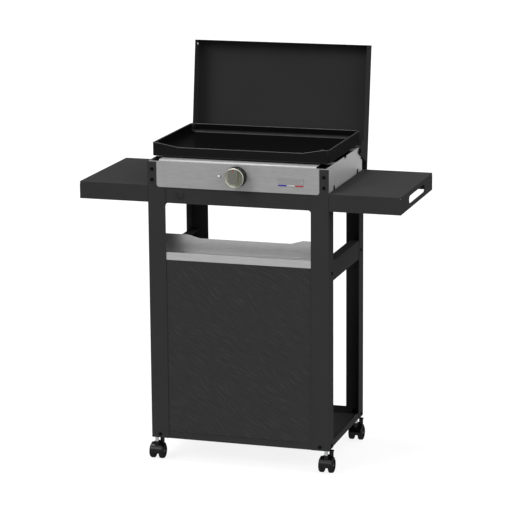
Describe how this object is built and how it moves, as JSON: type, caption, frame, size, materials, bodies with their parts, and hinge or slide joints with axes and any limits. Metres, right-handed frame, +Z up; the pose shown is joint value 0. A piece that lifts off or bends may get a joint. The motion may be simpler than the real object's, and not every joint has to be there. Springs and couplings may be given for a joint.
{
  "type": "electric plancha grill",
  "caption": "Free-standing electric plancha on a caster trolley: cast cooking plate, hinged lid, thermostat knob, side shelves, utensil tray and open-backed cabinet.",
  "frame": {"origin": "on the floor, under the middle of the whole object's box with the lid open", "axes": "+Z up, -Y towards the cook who faces the control panel, +X to the cook's right"},
  "size_m": [1.028, 0.5694, 1.2749],
  "materials": {
    "cart_coat": "fine matt powder coat, charcoal",
    "front_panel_coat": "fine matt powder coat with a faint sheen, charcoal",
    "lid_coat": "matt powder coat, charcoal",
    "black_screws": "black satin",
    "stainless": "fine brushed",
    "galvanised": "bright zinc",
    "enamel": "black satin enamel",
    "element_sheath": "dull heat-darkened sheath",
    "knob_metal": "satin nickel",
    "nameplate": "bare satin",
    "lamp": "clear frosted lens",
    "black_plastic": "fine moulded texture",
    "caster_plastic": "semi-gloss nylon",
    "caster_axle": "blackened steel"
  },
  "bodies": {
    "frame": {"leg_front_left": "cart_coat", "leg_front_right": "cart_coat", "leg_rear_left": "cart_coat", "leg_rear_right": "cart_coat", "front_crossbar": "cart_coat", "rear_crossbar": "cart_coat", "side_rail_left": "cart_coat", "side_rail_right": "cart_coat", "bottom_shelf": "cart_coat", "side_shelf_left": "cart_coat", "side_shelf_right": "cart_coat", "front_panel": "front_panel_coat", "tongue_screws": "black_screws", "rail_screws": "black_screws", "base_screws": "black_screws", "shelf_bolts": "black_screws", "lid_pivots": "black_screws", "lid_stops": "black_screws", "control_panel": "stainless", "side_panel_left": "stainless", "side_panel_right": "stainless", "utensil_tray": "stainless", "base_pan": "galvanised", "rear_panel": "galvanised", "heat_shield": "galvanised", "element_clamps": "galvanised", "caster_stems": "galvanised", "caster_nuts": "galvanised", "lid_washers": "galvanised", "nameplate_screws": "galvanised", "griddle_plate": "enamel", "heating_element": "element_sheath", "lamp_bezel": "knob_metal", "nameplate": "nameplate", "lamp_lens": "lamp", "blanking_plug": "black_plastic", "thermostat": "black_plastic", "cable_gland": "black_plastic", "terminal_block": "black_plastic"},
    "lid": {"lid": "lid_coat"},
    "knob": {"control_knob": "knob_metal", "thermostat_shaft": "knob_metal"},
    "front_left_swivel": {"caster_front_left_hood": "caster_plastic"},
    "front_left_wheels": {"caster_front_left_wheels": "caster_plastic", "caster_front_left_axle": "caster_axle"},
    "front_left_brake": {"caster_front_left_brake": "caster_plastic"},
    "front_right_swivel": {"caster_front_right_hood": "caster_plastic"},
    "front_right_wheels": {"caster_front_right_wheels": "caster_plastic", "caster_front_right_axle": "caster_axle"},
    "front_right_brake": {"caster_front_right_brake": "caster_plastic"},
    "rear_left_swivel": {"caster_rear_left_hood": "caster_plastic"},
    "rear_left_wheels": {"caster_rear_left_wheels": "caster_plastic", "caster_rear_left_axle": "caster_axle"},
    "rear_left_brake": {"caster_rear_left_brake": "caster_plastic"},
    "rear_right_swivel": {"caster_rear_right_hood": "caster_plastic"},
    "rear_right_wheels": {"caster_rear_right_wheels": "caster_plastic", "caster_rear_right_axle": "caster_axle"},
    "rear_right_brake": {"caster_rear_right_brake": "caster_plastic"}
  },
  "joints": [
    {"name": "lid_hinge", "type": "hinge", "parent": "frame", "child": "lid", "pos_m": [0, 0.1367, 0.952], "axis": [1, 0, 0], "range_deg": [0, 97.7]},
    {"name": "knob_turn", "type": "hinge", "parent": "frame", "child": "knob", "pos_m": [0, -0.2613, 0.925], "axis": [0, 1, 0], "range_deg": [0, 270]},
    {"name": "front_left_swivel", "type": "hinge", "parent": "frame", "child": "front_left_swivel", "pos_m": [-0.2776, -0.2279, 0.04], "axis": [0, 0, 1], "continuous": true},
    {"name": "front_left_roll", "type": "hinge", "parent": "front_left_swivel", "child": "front_left_wheels", "pos_m": [-0.2776, -0.2189, 0.024], "axis": [1, 0, 0], "continuous": true},
    {"name": "front_left_brake", "type": "hinge", "parent": "front_left_swivel", "child": "front_left_brake", "pos_m": [-0.2776, -0.2159, 0.0547], "axis": [-1, 0, 0], "range_deg": [0, 25]},
    {"name": "front_right_swivel", "type": "hinge", "parent": "frame", "child": "front_right_swivel", "pos_m": [0.2776, -0.2279, 0.04], "axis": [0, 0, 1], "continuous": true},
    {"name": "front_right_roll", "type": "hinge", "parent": "front_right_swivel", "child": "front_right_wheels", "pos_m": [0.2776, -0.2189, 0.024], "axis": [1, 0, 0], "continuous": true},
    {"name": "front_right_brake", "type": "hinge", "parent": "front_right_swivel", "child": "front_right_brake", "pos_m": [0.2776, -0.2159, 0.0547], "axis": [-1, 0, 0], "range_deg": [0, 25]},
    {"name": "rear_left_swivel", "type": "hinge", "parent": "frame", "child": "rear_left_swivel", "pos_m": [-0.2776, 0.1337, 0.04], "axis": [0, 0, 1], "continuous": true},
    {"name": "rear_left_roll", "type": "hinge", "parent": "rear_left_swivel", "child": "rear_left_wheels", "pos_m": [-0.2776, 0.1427, 0.024], "axis": [1, 0, 0], "continuous": true},
    {"name": "rear_left_brake", "type": "hinge", "parent": "rear_left_swivel", "child": "rear_left_brake", "pos_m": [-0.2776, 0.1457, 0.0547], "axis": [-1, 0, 0], "range_deg": [0, 25]},
    {"name": "rear_right_swivel", "type": "hinge", "parent": "frame", "child": "rear_right_swivel", "pos_m": [0.2776, 0.1337, 0.04], "axis": [0, 0, 1], "continuous": true},
    {"name": "rear_right_roll", "type": "hinge", "parent": "rear_right_swivel", "child": "rear_right_wheels", "pos_m": [0.2776, 0.1427, 0.024], "axis": [1, 0, 0], "continuous": true},
    {"name": "rear_right_brake", "type": "hinge", "parent": "rear_right_swivel", "child": "rear_right_brake", "pos_m": [0.2776, 0.1457, 0.0547], "axis": [-1, 0, 0], "range_deg": [0, 25]}
  ]
}
